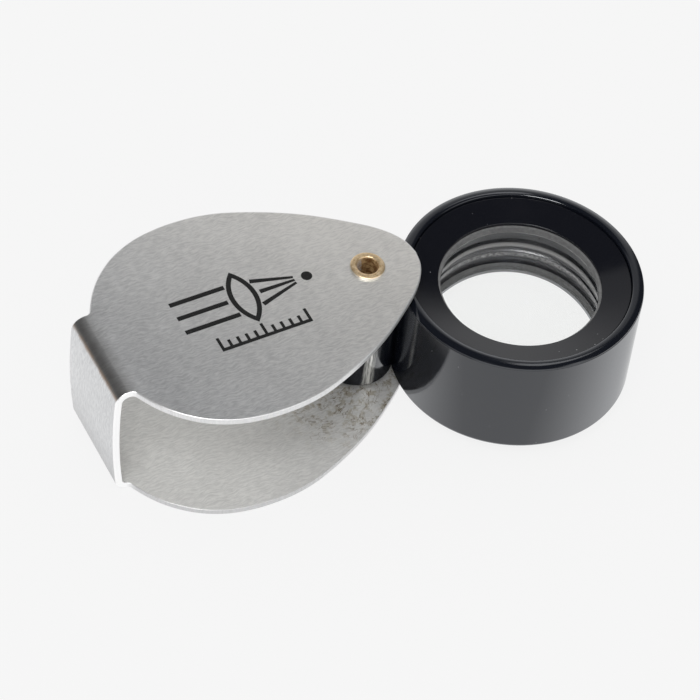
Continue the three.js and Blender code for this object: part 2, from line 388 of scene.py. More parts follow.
def tagged_outline(stations):
    """Outline with a point at every station, and each point's station index or None."""
    outline = blank_outline()
    dense = []
    for i, p in enumerate(outline):
        q = outline[(i + 1) % len(outline)]
        dense.append((p, None))
        cuts = []
        if abs(q[0] - p[0]) > 1e-9:
            for k, s in enumerate(stations):
                t = (s - p[0]) / (q[0] - p[0])
                if 1e-6 < t < 1 - 1e-6:
                    cuts.append((t, k, (s, p[1] + (q[1] - p[1]) * t)))
        dense += [(point, k) for _, k, point in sorted(cuts)]
    loop, tags = [], []
    for point, tag in dense:
        if tag is None:
            for k, s in enumerate(stations):
                if abs(point[0] - s) < 1e-6:
                    tag = k
        # points on top of one another become one
        if loop and math.dist(point, loop[-1]) < 1e-4:
            tags[-1] = tags[-1] if tags[-1] is not None else tag
            continue
        loop.append(point)
        tags.append(tag)
    return loop, tags


def inside(polygon, x, y):
    crossings = 0
    for (x0, y0), (x1, y1) in zip(polygon, polygon[1:] + polygon[:1]):
        if (y0 > y) != (y1 > y) and x < x0 + (y - y0) * (x1 - x0) / (y1 - y0):
            crossings += 1
    return crossings % 2 == 1


# ---------------------------------------------------------------- the folded sheet
OUTER_EDGE_R, INNER_EDGE_R = 0.16, 0.07
OUTER_EDGE_STEPS, INNER_EDGE_STEPS = 5, 3
STATION_YS = (-4.6, -2.3, 0.0, 2.3, 4.6)
PLATE_HOLE_R = 1.50
SINK_R = 2.0
SINK_DEPTH = 0.60
HOLE_SEGMENTS = 72
HOLE_EXIT = [(PLATE_HOLE_R, -HALF_SHEET + 0.04), (PLATE_HOLE_R + 0.04, -HALF_SHEET)]
# hole profiles (radius, h) from the outer face to the inner face
PLAIN_HOLE = [(PLATE_HOLE_R + 0.06, HALF_SHEET), (PLATE_HOLE_R, HALF_SHEET - 0.06)] + HOLE_EXIT
SUNK_HOLE = [(SINK_R + 0.03, HALF_SHEET), (SINK_R - 0.02, HALF_SHEET - 0.03),
             (PLATE_HOLE_R, HALF_SHEET - SINK_DEPTH)] + HOLE_EXIT


def edge_section():
    """The cut edge's section as (inset, h, outward share of the normal)."""
    section = []
    for k in range(OUTER_EDGE_STEPS + 1):
        a = math.radians(90 - 90 * k / OUTER_EDGE_STEPS)
        section.append((OUTER_EDGE_R * (1 - math.cos(a)),
                        HALF_SHEET - OUTER_EDGE_R + OUTER_EDGE_R * math.sin(a), math.sin(a)))
    for k in range(INNER_EDGE_STEPS + 1):
        a = math.radians(-90 * k / INNER_EDGE_STEPS)
        section.append((INNER_EDGE_R * (1 - math.cos(a)),
                        -HALF_SHEET + INNER_EDGE_R + INNER_EDGE_R * math.sin(a), math.sin(a)))
    return section


def add_edge(draft, loop):
    """Rounded cut edge; returns its first and last rings as (vertex, blank point, normal)."""
    count = len(loop)
    inward = []
    for i, point in enumerate(loop):
        p = Vector(point)
        arriving = (p - Vector(loop[i - 1])).normalized()
        leaving = (Vector(loop[(i + 1) % count]) - p).normalized()
        direction = (arriving + leaving).normalized()
        inward.append((direction.y, -direction.x))  # right-hand side of a clockwise loop
    section = edge_section()
    rings = []
    for q, (inset, h, tilt) in enumerate(section):
        edge = 0.0 if q in (0, len(section) - 1) else 1.0
        sideways = math.sqrt(max(0.0, 1 - tilt * tilt))
        ring = []
        for (s, y), (in_s, in_y) in zip(loop, inward):
            p = (s + in_s * inset, y + in_y * inset)
            ring.append((draft.vert(fold(*p, h), edge), p,
                         sheet_normal(p[0], (-in_s, -in_y), tilt, sideways)))
        rings.append(ring)
    for a, b in zip(rings, rings[1:]):
        for i in range(count):
            j = (i + 1) % count
            draft.face(*zip(a[i], a[j], b[j], b[i])) if False else add_quad(
                draft, (a[i], a[j], b[j], b[i]))
    return rings[0], rings[-1]


def add_quad(draft, corners):
    """A face from (vertex, blank point, normal) corners."""
    vertices, points, normals = zip(*corners)
    draft.face(vertices, normals, points)


def add_hole(draft, centre_s, profile):
    """Hole wall; returns its outer and inner rims as (vertices and points, centre, radius)."""
    rows = []
    for r, h in profile:
        edge = 0.0 if abs(abs(h) - HALF_SHEET) < 1e-9 else 1.0
        row = []
        for k in range(HOLE_SEGMENTS):
            a = 2 * math.pi * k / HOLE_SEGMENTS
            p = (centre_s + r * math.cos(a), r * math.sin(a))
            row.append((draft.vert(fold(*p, h), edge), p, a))
        rows.append(row)
    for (r0, h0), (r1, h1), a, b in zip(profile, profile[1:], rows, rows[1:]):
        length = math.hypot(r1 - r0, h1 - h0)
        sideways, outward = (h1 - h0) / length, -(r1 - r0) / length  # towards the hole's axis
        for k in range(HOLE_SEGMENTS):
            j = (k + 1) % HOLE_SEGMENTS
            add_quad(draft, [(vertex, p, sheet_normal(p[0], (math.cos(angle), math.sin(angle)),
                                                      outward, sideways))
                             for vertex, p, angle in (a[k], a[j], b[j], b[k])])
    return (rows[0], centre_s, profile[0][0]), (rows[-1], centre_s, profile[-1][0])


def add_face(draft, ring, rims, side, stations, tags):
    """Fills the outer (side 1) or inner (side -1) face between the edge and the hole rims."""
    count = len(ring)
    vertices = [corner[0] for corner in ring]
    outline = [corner[1] for corner in ring]
    points = list(outline)
    edges = [(i, (i + 1) % count) for i in range(count)]
    for row, _, _ in rims:
        base = len(points)
        points += [corner[1] for corner in row]
        vertices += [corner[0] for corner in row]
        edges += [(base + k, base + (k + 1) % len(row)) for k in range(len(row))]
    h = HALF_SHEET * side
    for k, s in enumerate(stations):
        ends = [i for i in range(count) if tags[i] == k]
        if len(ends) != 2:
            continue
        previous, end = sorted(ends, key=lambda i: points[i][1])
        for y in STATION_YS:
            points.append((s, y))
            vertices.append(draft.vert(fold(s, y, h)))
            edges.append((previous, len(points) - 1))
            previous = len(points) - 1
        edges.append((previous, end))
    flat, _, triangles, sources, _, _ = delaunay_2d_cdt(
        [Vector(p) for p in points], edges, [], 0, 1e-7, True)
    placed = [vertices[source[0]] if source else draft.vert(fold(p.x, p.y, h))
              for p, source in zip(flat, sources)]
    for triangle in triangles:
        middle_s = sum(flat[i].x for i in triangle) / 3
        middle_y = sum(flat[i].y for i in triangle) / 3
        if not inside(outline, middle_s, middle_y):
            continue
        if any((middle_s - centre) ** 2 + middle_y ** 2
               < (radius * math.cos(math.pi / HOLE_SEGMENTS)) ** 2
               for _, centre, radius in rims):
            continue
        order = list(triangle)
        a, b, c = [flat[i] for i in order]
        area = (b.x - a.x) * (c.y - a.y) - (c.x - a.x) * (b.y - a.y)
        if (area > 0) != (side < 0):
            order.reverse()
        draft.face([placed[i] for i in order],
                   [sheet_normal(flat[i].x, (0, 0), float(side), 0.0) for i in order],
                   [(flat[i].x, flat[i].y) for i in order])


def folded_sheet(name):
    stations = strip_stations()
    loop, tags = tagged_outline(stations)
    draft = MeshDraft()
    outer_ring, inner_ring = add_edge(draft, loop)
    holes = [add_hole(draft, BEND_START_X - PIVOT_X, PLAIN_HOLE),
             add_hole(draft, STRIP_LENGTH + PIVOT_X - LOWER_X, SUNK_HOLE)]
    outer_rims, inner_rims = zip(*holes)
    add_face(draft, outer_ring, outer_rims, 1, stations, tags)
    add_face(draft, inner_ring, inner_rims, -1, stations, tags)
    return draft.build(name)


case = folded_sheet("case_sheet")
register(case, "case", "folded_case")

# ---------------------------------------------------------------- rivet and washers
# Tube profile (radius, z), with a flared foot and a rolled head on the upper plate
RIVET_FOOT = [
    (1.12, 0.46), (1.155, 0.30), (1.27, 0.15), (1.44, 0.05), (1.60, 0.02), (1.78, 0.03),
    (1.86, 0.08), (1.80, 0.17), (1.62, 0.36), (1.50, 0.50), (1.45, 0.60),
]
# z here is above the upper plate
RIVET_HEAD = [
    (1.45, 0), (1.85, 0), (1.88, 0.03), (1.88, 0.12), (1.86, 0.18), (1.81, 0.24),
    (1.73, 0.29), (1.62, 0.325), (1.46, 0.335), (1.30, 0.32), (1.21, 0.28),
    (1.15, 0.21), (1.125, 0.12), (1.12, 0),
]
rivet = lathe("rivet_tube", RIVET_FOOT + [(r, CASE_HEIGHT + z) for r, z in RIVET_HEAD],
              PIVOT, segments=96, smooth=60)
register(rivet, "case", "pivot_rivet")

WASHER_R = 3.2
WASHER_THICKNESS = 0.30
WASHER_GAP = 0.02


def washer(name, z, replaces):
    top = z + WASHER_THICKNESS
    corners = [(PIVOT_BORE_R, z), (WASHER_R, z), (WASHER_R, top), (PIVOT_BORE_R, top)]
    obj = lathe(name, rounded(corners, [0.05] * 4, steps=3), PIVOT, segments=96)
    register(obj, "case", replaces)
    return obj


lower_washer = washer("washer_lower", SHEET + WASHER_GAP, "lower_friction_washer")
upper_washer = washer("washer_upper", CASE_HEIGHT - SHEET - WASHER_GAP - WASHER_THICKNESS,
                      "upper_friction_washer")

# ---------------------------------------------------------------- lens barrel with its boss
BARREL_Z0, BARREL_Z1 = 1.5, 14.3
BOSS_R = 4.1
BOSS_Z0 = 1.10
BOSS_Z1 = CASE_HEIGHT - BOSS_Z0
SHARP_ANGLE = 34             # degrees


def lean(obj, keep_normals=False):
    """Tips a mesh with the barrel, which sits a little askew, and shifts it."""
    mesh = obj.data
    kept = [tuple(n.vector) for n in mesh.corner_normals] if keep_normals else None
    c, s = math.cos(LEAN), math.sin(LEAN)
    for vertex in mesh.vertices:
        x, y, z = vertex.co.x / MM, vertex.co.y / MM - LENS_Y, vertex.co.z / MM - LEAN_Z
        vertex.co = ((x + SLIP_X) * MM, (LENS_Y + SLIP_Y + y * c + z * s) * MM,
                     (LEAN_Z - y * s + z * c) * MM)
    if kept:
        mesh.normals_split_custom_set(kept)
    mesh.update()


def clear_custom_normals(obj):
    bpy.context.view_layer.objects.active = obj
    for other in bpy.context.selected_objects:
        other.select_set(False)
    obj.select_set(True)
    bpy.ops.mesh.customdata_custom_splitnormals_clear()


def boolean(target, tool, operation):
    """Applies a boolean and removes the tool."""
    modifier = target.modifiers.new("b", "BOOLEAN")
    modifier.operation = operation
    modifier.solver = "EXACT"
    modifier.object = tool
    graph = bpy.context.evaluated_depsgraph_get()
    mesh = bpy.data.meshes.new_from_object(target.evaluated_get(graph))
    target.modifiers.clear()
    target.data = mesh
    bpy.data.objects.remove(tool)


def make_barrel():
    # (radius, z): lower lip and outer wall, rounded top, then down the stepped bore
    profile = (
        [(8.5, 2.8), (8.56, 2.76), (11.85, BARREL_Z0), (12.6, BARREL_Z0)]
        + arc(12.6, BARREL_Z0 + 0.5, 0.5, -90, 0, 8)
        + arc(12.97, 13.89, 0.13, 0, 55, 5)
        + arc(12.25, BARREL_Z1 - 1.55, 1.55, 60, 90, 8)
        + [(12.18, BARREL_Z1 - 0.009), (12.08, BARREL_Z1 - 0.032), (11.98, BARREL_Z1 - 0.060),
           (11.91, BARREL_Z1 - 0.085), (11.87, BARREL_Z1 - 0.12), (11.85, BARREL_Z1 - 0.20),
           (11.85, 12.0), (9.25, 12.0), (9.25, 3.38), (8.5, 3.38)]
    )
    body = lathe("barrel_tube", profile, LENS_AXIS, segments=240, smooth=SHARP_ANGLE)
    boss_corners = [(0, BOSS_Z0), (BOSS_R, BOSS_Z0), (BOSS_R, BOSS_Z1), (0, BOSS_Z1)]
    boss = lathe("boss_tmp", rounded(boss_corners, [0, 0.25, 0.25, 0]), PIVOT,
                 segments=144, closed=False)
    bore_corners = [(0, 0.0), (PIVOT_BORE_R, 0.0), (PIVOT_BORE_R, CASE_HEIGHT), (0, CASE_HEIGHT)]
    bore = lathe("hole_tmp", bore_corners, PIVOT, segments=96, closed=False)
    lean(body)
    for obj in (body, boss, bore):
        clear_custom_normals(obj)
    boolean(body, boss, "UNION")
    boolean(body, bore, "DIFFERENCE")
    body.data.polygons.foreach_set("use_smooth", [True] * len(body.data.polygons))
    body.data.set_sharp_from_angle(angle=math.radians(SHARP_ANGLE))
    weighted = body.modifiers.new("wn", "WEIGHTED_NORMAL")
    weighted.keep_sharp = True
    weighted.weight = 80
    register(body, "lens", "lens_barrel")
    return body


barrel = make_barrel()

# ---------------------------------------------------------------- dished ring
# (radius, z, corner radius)
RING_PROFILE = [(9.32, 12.02, 0.03), (11.80, 12.02, 0.05), (11.80, 13.92, 0.10),
                (8.75, 12.99, 0.07), (8.75, 12.62, 0.05), (9.32, 12.62, 0.03)]
ring = lathe("ring_dish", rounded([p[:2] for p in RING_PROFILE], [p[2] for p in RING_PROFILE],
                                  steps=6), LENS_AXIS, segments=240, smooth=30)
lean(ring, keep_normals=True)
register(ring, "lens", "retaining_ring")

# ---------------------------------------------------------------- the two lenses
LENS_R = 9.2
LENS_EDGE = 1.3              # thickness at the rim
CLEAR_R = 8.45               # where the curved face meets the flat rim
CURVE_R = 40.0
LOWER_LENS_Z = 3.40          # flat face of the lower lens
UPPER_LENS_Z = CASE_HEIGHT - LOWER_LENS_Z
CURVE_STEPS = 40


def lens_profile(z, upward):
    """Flat face at z, domed face upward or downward."""
    rise = LENS_EDGE + CURVE_R - math.sqrt(CURVE_R ** 2 - CLEAR_R ** 2)
    points = [(0, 0), (LENS_R - 0.12, 0), (LENS_R, 0.12), (LENS_R, LENS_EDGE - 0.05),
              (LENS_R - 0.05, LENS_EDGE), (CLEAR_R, LENS_EDGE)]
    for i in range(1, CURVE_STEPS + 1):
        r = CLEAR_R * (1 - i / CURVE_STEPS)
        points.append((r, rise - (CURVE_R - math.sqrt(CURVE_R ** 2 - r * r))))
    if upward:
        return [(r, z + h) for r, h in points]
    return [(r, z - h) for r, h in reversed(points)]


lenses = []
for name, z, upward, node in (("glass_lower", LOWER_LENS_Z, True, "lower_lens"),
                              ("glass_upper", UPPER_LENS_Z, False, "upper_lens")):
    lens = lathe(name, lens_profile(z, upward), LENS_AXIS, closed=False, smooth=12)
    lean(lens)
    register(lens, "lens", node)
    lenses.append(lens)

# ---------------------------------------------------------------- spacer between the lenses
SPACER_Z0 = LOWER_LENS_Z + LENS_EDGE + 0.02
SPACER_Z1 = UPPER_LENS_Z - LENS_EDGE - 0.02
# (radius, z, corner radius): the outer wall, then down the ribbed inner wall
SPACER_PROFILE = [
    (8.95, SPACER_Z0, 0.02), (9.2, SPACER_Z0, 0.02), (9.2, SPACER_Z1, 0.02),
    (8.95, SPACER_Z1, 0.02), (8.95, 11.15, 0.10), (8.72, 11.05, 0.08), (8.72, 10.85, 0.08),
    (8.95, 10.75, 0.08), (8.97, 10.0, 0.3), (8.95, 9.30, 0.3), (8.70, 8.90, 0.3),
    (8.59, 8.50, 0.3), (8.66, 8.10, 0.2), (8.80, 7.77, 0.15), (8.80, 7.35, 0.06),
    (9.00, 7.19, 0.04), (9.00, 7.07, 0.04), (8.78, 6.92, 0.06), (8.78, 6.10, 0.08),
    (8.95, 5.85, 0.08),
]
spacer = lathe("spacer_tube", rounded([p[:2] for p in SPACER_PROFILE],
                                      [p[2] for p in SPACER_PROFILE]),
               LENS_AXIS, segments=200, smooth=40)
lean(spacer)
register(spacer, "lens", "spacer_ring")

# ---------------------------------------------------------------- printed mark
MARK_ORIGIN = (4.9, 1.35)
MARK_TURN = math.radians(0.5)
INK_ABOVE, INK_BELOW = 0.02, 0.01  # how far the ink stands above and reaches below the plate
LENS_SIGN_H, LENS_SIGN_W = 3.2, 1.25  # half height and half width
LENS_SIGN_STEPS = 24
RAY_SPACING = 1.95
FOCUS_X = 7.3
FOCUS_R = 0.30
SCALE_Y = -5.5
SCALE_HALF = 5
SCALE_LINE_W = 0.40
TICK_Y = -5.31               # lower end of the ticks


def print_strokes(name, strokes):
    """Raised ink from strokes of (points, widths, closed), in the mark's own frame."""
    draft = MeshDraft()
    c, s = math.cos(MARK_TURN), math.sin(MARK_TURN)

    def turned(x, y):
        return (x * c - y * s, x * s + y * c, 0)

    def place(points, z):
        out = []
        for point in points:
            x, y, _ = turned(*point)
            out.append(draft.vert((MARK_ORIGIN[0] + x, MARK_ORIGIN[1] + y, z)))
        return out

    for points, widths, closed in strokes:
        points = [Vector(p) for p in points]
        count = len(points)
        left, right = [], []
        for i, point in enumerate(points):
            inner = closed or 0 < i < count - 1
            a = points[i - 1] if closed or i > 0 else point
            b = points[(i + 1) % count] if closed or i < count - 1 else point
            direction = (b - a).normalized()
            across = Vector((-direction.y, direction.x))
            mitre = 1
            if inner:
                arriving = (point - a).normalized()
                mitre = 1 / max(0.35, across.dot(Vector((-arriving.y, arriving.x))))
            half = widths[i] / 2 * mitre
            left.append(point + across * half)
            right.append(point - across * half)
        top, bottom = CASE_HEIGHT + INK_ABOVE, CASE_HEIGHT - INK_BELOW
        left_top, right_top = place(left, top), place(right, top)
        left_low, right_low = place(left, bottom), place(right, bottom)
        for i in range(count if closed else count - 1):
            j = (i + 1) % count
            step = (points[j] - points[i]).normalized()
            for corners, normal in (
                    ((left_top[i], right_top[i], right_top[j], left_top[j]), (0, 0, 1)),
                    ((left_low[i], left_low[j], right_low[j], right_low[i]), (0, 0, -1)),
                    ((left_top[i], left_top[j], left_low[j], left_low[i]),
                     turned(-step.y, step.x)),
                    ((right_top[i], right_low[i], right_low[j], right_top[j]),
                     turned(step.y, -step.x))):
                draft.face(corners, [normal] * 4)
        if not closed:
            first = (points[0] - points[1]).normalized()
            last = (points[-1] - points[-2]).normalized()
            draft.face([left_top[0], left_low[0], right_low[0], right_top[0]],
                       [turned(*first)] * 4)
            draft.face([left_top[-1], right_top[-1], right_low[-1], left_low[-1]],
                       [turned(*last)] * 4)
    return draft.build(name)


def bar(start, end, width, end_width=None):
    return ([start, end], [width, end_width or width], False)


def lens_sign():
    """Two arcs that meet in points above and below."""
    radius = (LENS_SIGN_H ** 2 + LENS_SIGN_W ** 2) / (2 * LENS_SIGN_W)
    half = math.asin(LENS_SIGN_H / radius)
    offset = radius - LENS_SIGN_W
    angles = [-half + 2 * half * k / LENS_SIGN_STEPS for k in range(LENS_SIGN_STEPS + 1)]
    points = [(-offset + radius * math.cos(t), radius * math.sin(t)) for t in angles]
    points += [(offset - radius * math.cos(t), -radius * math.sin(t)) for t in angles[1:-1]]
    return (points, [0.52] * len(points), True)


def mark_strokes():
    """A lens with three rays brought to a focus, over a scale of eleven ticks."""
    strokes = [lens_sign()]
    for y in (-RAY_SPACING, 0.0, RAY_SPACING):
        strokes.append(bar((-7.6, y), (-1.35 if y else -1.85, y), 0.54))
        ray = []
        for x in (1.45 if y else 1.85, 5.9):
            ray.append((x, y * (FOCUS_X - x) / (FOCUS_X - 0.4)))
        strokes.append(bar(*ray, 0.52, 0.28))
    turns = [2 * math.pi * k / 20 for k in range(20)]
    focus = [(FOCUS_X + FOCUS_R * math.cos(t), FOCUS_R * math.sin(t)) for t in turns]
    strokes.append((focus, [0.585] * len(focus), True))
    strokes.append(bar((-5.16, SCALE_Y), (5.16, SCALE_Y), SCALE_LINE_W))
    for x in range(-SCALE_HALF, SCALE_HALF + 1):
        height = 1.45 if x % 5 == 0 else 0.85
        strokes.append(bar((x, TICK_Y), (x, TICK_Y + height), 0.32))
    return strokes


mark = print_strokes("case_print", mark_strokes())
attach(mark, "case")


# ---------------------------------------------------------------- shader graph helpers
class Wire:
    """A node's output. Arithmetic on it adds Math nodes."""

    def __init__(self, graph, socket):
        self.graph, self.socket = graph, socket

    def __add__(self, other):
        return self.graph.math("ADD", self, other)

    def __radd__(self, other):
        return self.graph.math("ADD", other, self)

    def __sub__(self, other):
        return self.graph.math("SUBTRACT", self, other)

    def __rsub__(self, other):
        return self.graph.math("SUBTRACT", other, self)

    def __mul__(self, other):
        return self.graph.math("MULTIPLY", self, other)

    def __abs__(self):
        return self.graph.math("ABSOLUTE", self)

    def ramp(self, span, to=(0, 1), kind="LINEAR"):
        """Maps the span of this value to another range."""
        return self.graph.add("ShaderNodeMapRange", {
            0: self, 1: span[0], 2: span[1], 3: to[0], 4: to[1]}, interpolation_type=kind)

    def ease(self, span, to=(0, 1)):
        return self.ramp(span, to, "SMOOTHSTEP")

    def window(self, rise, fall):
        """0 to 1 over the span rise, back to 0 over the span fall."""
        return self.ease(rise) * self.ease(fall, to=(1, 0))


class Graph:
    """Writes the node tree of a material or world, starting from an empty one."""

    def __init__(self, owner):
        owner.use_nodes = True
        self.tree = owner.node_tree
        self.tree.nodes.clear()

    def feed(self, node, inputs):
        """Links wires and sets values; colours are given without alpha."""
        for key, value in inputs.items():
            socket = node.inputs[key]
            if isinstance(value, Wire):
                self.tree.links.new(value.socket, socket)
            elif socket.type == "RGBA":
                socket.default_value = (*value, 1.0)
            else:
                socket.default_value = value

    def node(self, kind, inputs=None, **settings):
        node = self.tree.nodes.new(kind)
        for key, value in settings.items():
            setattr(node, key, value)
        self.feed(node, inputs or {})
        return node

    def add(self, kind, inputs=None, output=0, **settings):
        return Wire(self, self.node(kind, inputs, **settings).outputs[output])

    def outputs(self, kind, names, inputs=None):
        node = self.node(kind, inputs)
        return [Wire(self, node.outputs[name]) for name in names]

    def split(self, vector):
        return self.outputs("ShaderNodeSeparateXYZ", (0, 1, 2), {0: vector})

    def math(self, operation, a, b=0.0, clamp=False):
        return self.add("ShaderNodeMath", {0: a, 1: b}, operation=operation, use_clamp=clamp)

    def length(self, x, y):
        return self.math("SQRT", x * x + y * y)

    def about_pivot(self, x, y):
        """Distance from the pivot and angle round it in radians."""
        dx = x - PIVOT_X
        return self.length(dx, y), self.math("ARCTAN2", y, dx)

    def scaled(self, vector, scale):
        return self.add("ShaderNodeMapping", {0: vector, "Scale": scale})

    def millimetres(self):
        """Object coordinates in millimetres."""
        position = self.add("ShaderNodeTexCoord", output="Object")
        return self.scaled(position, (1000, 1000, 1000))

    def noise(self, vector, scale=1.0, detail=4.0, rough=0.6):
        return self.add("ShaderNodeTexNoise", {
            "Vector": vector, "Scale": scale, "Detail": detail, "Roughness": rough},
            output="Fac")

    def mix(self, factor, a, b, blend="MIX"):
        return self.add("ShaderNodeMix", {0: factor, 6: a, 7: b}, output=2,
                        data_type="RGBA", blend_type=blend)

    def mix_value(self, factor, a, b):
        return self.add("ShaderNodeMix", {0: factor, 2: a, 3: b}, data_type="FLOAT")

    def mix_shader(self, factor, a, b):
        return self.add("ShaderNodeMixShader", {0: factor, 1: a, 2: b})

    def bump(self, height, strength, distance, normal=None):
        """Distance is in metres."""
        inputs = {"Strength": strength, "Distance": distance, "Height": height}
        if normal:
            inputs["Normal"] = normal
        return self.add("ShaderNodeBump", inputs)


def principled_material(name):
    material = bpy.data.materials.new(name)
    graph = Graph(material)
    shader = graph.node("ShaderNodeBsdfPrincipled")
    graph.node("ShaderNodeOutputMaterial", {0: Wire(graph, shader.outputs[0])})
    return material, graph, shader


# ---------------------------------------------------------------- sheet steel
AWAY = (0.5539, 0.8326)      # level direction away from the camera
BOW_CURVATURE = 0.0040       # per mm, of the plates' slight bow
BOW_CENTRE = 2.0             # mm along AWAY


def steel_material():
    material, graph, shader = principled_material("sheet_steel")
    blank = graph.add("ShaderNodeUVMap", uv_map="UVMap")
    mm = graph.millimetres()
    edge = graph.add("ShaderNodeAttribute", output="Fac", attribute_name="edge")
    x, y, z = graph.split(mm)
    normal_x, _, normal_z = graph.split(
        graph.add("ShaderNodeNewGeometry", output="True Normal"))
    # the fold's inside, which is duller than the outside
    ceiling = CASE_HEIGHT - SHEET
    between = (z.ramp(span=(SHEET - 0.15, SHEET - 0.05))
               * z.ramp(span=(ceiling + 0.05, ceiling + 0.15), to=(1, 0)))
    inside_face = between * normal_x.ramp(span=(-0.25, -0.05))

    # rolled grain: short streaks along the strip, orange peel and slow clouds
    waves = graph.noise(mm, scale=0.5, detail=2, rough=0.5)
    sway = graph.add("ShaderNodeCombineXYZ", {1: waves * 1.2})
    warped = graph.add("ShaderNodeVectorMath", {0: blank, 1: sway}, operation="ADD")
    streak = graph.noise(graph.scaled(warped, (0.95, 5.2, 1)), rough=0.62)
    fine = graph.noise(graph.scaled(warped, (2.6, 8.0, 1)))
    peel = graph.noise(mm, scale=2.6)
    cloud = graph.noise(mm, scale=0.14, detail=3, rough=0.5)

    # swing marks and grime about the pivot, on the inside
    radius, angle = graph.about_pivot(x, y)
    spiral = graph.add("ShaderNodeCombineXYZ", {
        0: angle * 7.0 + radius * 0.55 + waves * 3.0, 1: radius * 0.30})
    arcs = abs(graph.noise(spiral) - 0.5).ease(span=(0.0, 0.022), to=(1, 0))
    near = radius.window(rise=(3.3, 4.5), fall=(6.0, 15.0))
    blotches = graph.noise(mm, scale=0.55).ease(span=(0.42, 0.58), to=(0.15, 1.0))
    scuff = (arcs * near) * (inside_face * blotches)
    grime_spots = graph.noise(mm, scale=1.1, detail=5, rough=0.7).ease(span=(0.48, 0.62))
    grime = (grime_spots * near) * inside_face

    # light and dark: grain first, then the far side brighter than the fold as painted sheen, and
    # the tip brighter from wear
    tone = (streak.ease(span=(0.32, 0.68)) - 0.5) * 0.50 + (peel - 0.5) * 0.40
    tone = tone + (cloud - 0.5) * 0.45
    away = x * AWAY[0] + y * AWAY[1]
    # painted light: brighter away from the camera, plus wear towards the tip
    far_sheen_and_tip_wear = (away + x * 0.25).ramp(span=(-13.0, 17.0), to=(-0.32, 0.44))
    tone = graph.math("ADD", 0.5, tone + far_sheen_and_tip_wear * 0.80, clamp=True)
    color = graph.mix(tone, (0.58, 0.580, 0.582), (0.94, 0.936, 0.928))
    # cooler by the fold, warmer by the tip
    tint = graph.mix((x + y * 0.5).ramp(span=(-11, 20)),
                     (0.975, 0.985, 1.0), (1.0, 0.985, 0.955))
    color = graph.mix(1.0, color, tint, blend="MULTIPLY")
    dull = graph.mix(tone, (0.60, 0.598, 0.585), (0.90, 0.895, 0.875))
    color = graph.mix(inside_face, color, dull)
    color = graph.mix(grime * 0.6, color, (0.40, 0.34, 0.22))
    color = graph.mix(scuff * 0.95, color, (0.18, 0.12, 0.055))

    # darker, slightly brown band that starts hard at the upper bend and fades along the plate
    skin = 1.0 - inside_face
    upper_bend_darkening = skin * normal_z.ease(span=(0.40, 0.52))
    upper_bend_darkening = upper_bend_darkening * (x + waves * 0.9).ease(span=(-12.1, -9.3), to=(1, 0))
    brown = skin * abs(normal_z - 0.50).ease(span=(0.06, 0.22), to=(1, 0))
    brown = brown * graph.noise(mm, scale=0.8).ramp(span=(0.40, 0.60), to=(0.25, 1.0))
    # painted shade: the lower bend's outside is darkened where it faces down towards the floor
    lower_bend_painted_shade = skin * (normal_z.ease(span=(-0.03, -0.25))
                          * x.ramp(span=(-12.3, -10.5), to=(1, 0)))
    color = graph.mix(upper_bend_darkening * 0.80, color, (0.15, 0.142, 0.135))
    color = graph.mix(brown * 0.50, color, (0.36, 0.23, 0.15))
    color = graph.mix(lower_bend_painted_shade * 0.75, color, (0.18, 0.18, 0.18))

    # cut edges: painted shade darkens them round the lower plate, and a painted highlight makes
    # them white along the strip
    raised = z.ramp(span=(0.7, 0.9))
    painted_edge_light = graph.mix(fine,
                    graph.mix(raised, (0.44, 0.44, 0.445), (0.58, 0.58, 0.585)),
                    graph.mix(raised, (0.72, 0.72, 0.72), (0.90, 0.90, 0.90)))
    painted_edge_light = graph.mix(x.ramp(span=(-10.2, -11.0)), painted_edge_light, (1.0, 1.0, 1.0))
    color = graph.mix(edge, color, painted_edge_light)
    # painted shade: in reflections, the narrow gap between the plates is painted black
    glossy_ray = graph.add("ShaderNodeLightPath", output="Is Glossy Ray")
    gap_shade = (glossy_ray * between) * (x.ramp(span=(8.0, 12.0)) * (1.0 - edge))
    color = graph.mix(gap_shade * 0.85, color, (0.0, 0.0, 0.0))

    metallic = graph.mix_value(inside_face, 0.86, 0.50)
    rough = (streak * 0.6 + peel * 0.4).ramp(span=(0.35, 0.65), to=(0.315, 0.355))
    rough = rough + inside_face * 0.08
    relief = graph.bump(streak * 0.8 + (fine * 0.20 + peel * 0.25),
                        strength=1.0, distance=0.000005)
    # the plates' bow is drawn in their normals only
    offset = away - BOW_CENTRE
    bow = (offset * offset) * (-BOW_CURVATURE / 2) + cloud * 0.12
    bow = bow * abs(normal_z).ramp(span=(0.9, 0.99))
    graph.feed(shader, {
        "Base Color": color,
        "Metallic": graph.mix_value(edge, metallic, 0.70),
        "Roughness": graph.mix_value(edge, rough, 0.30),
        "Anisotropic": 0.3,
        "Tangent": graph.add("ShaderNodeTangent", direction_type="UV_MAP", uv_map="UVMap"),
        "Normal": graph.bump(bow, strength=1.0, distance=0.001, normal=relief),
    })
    return material


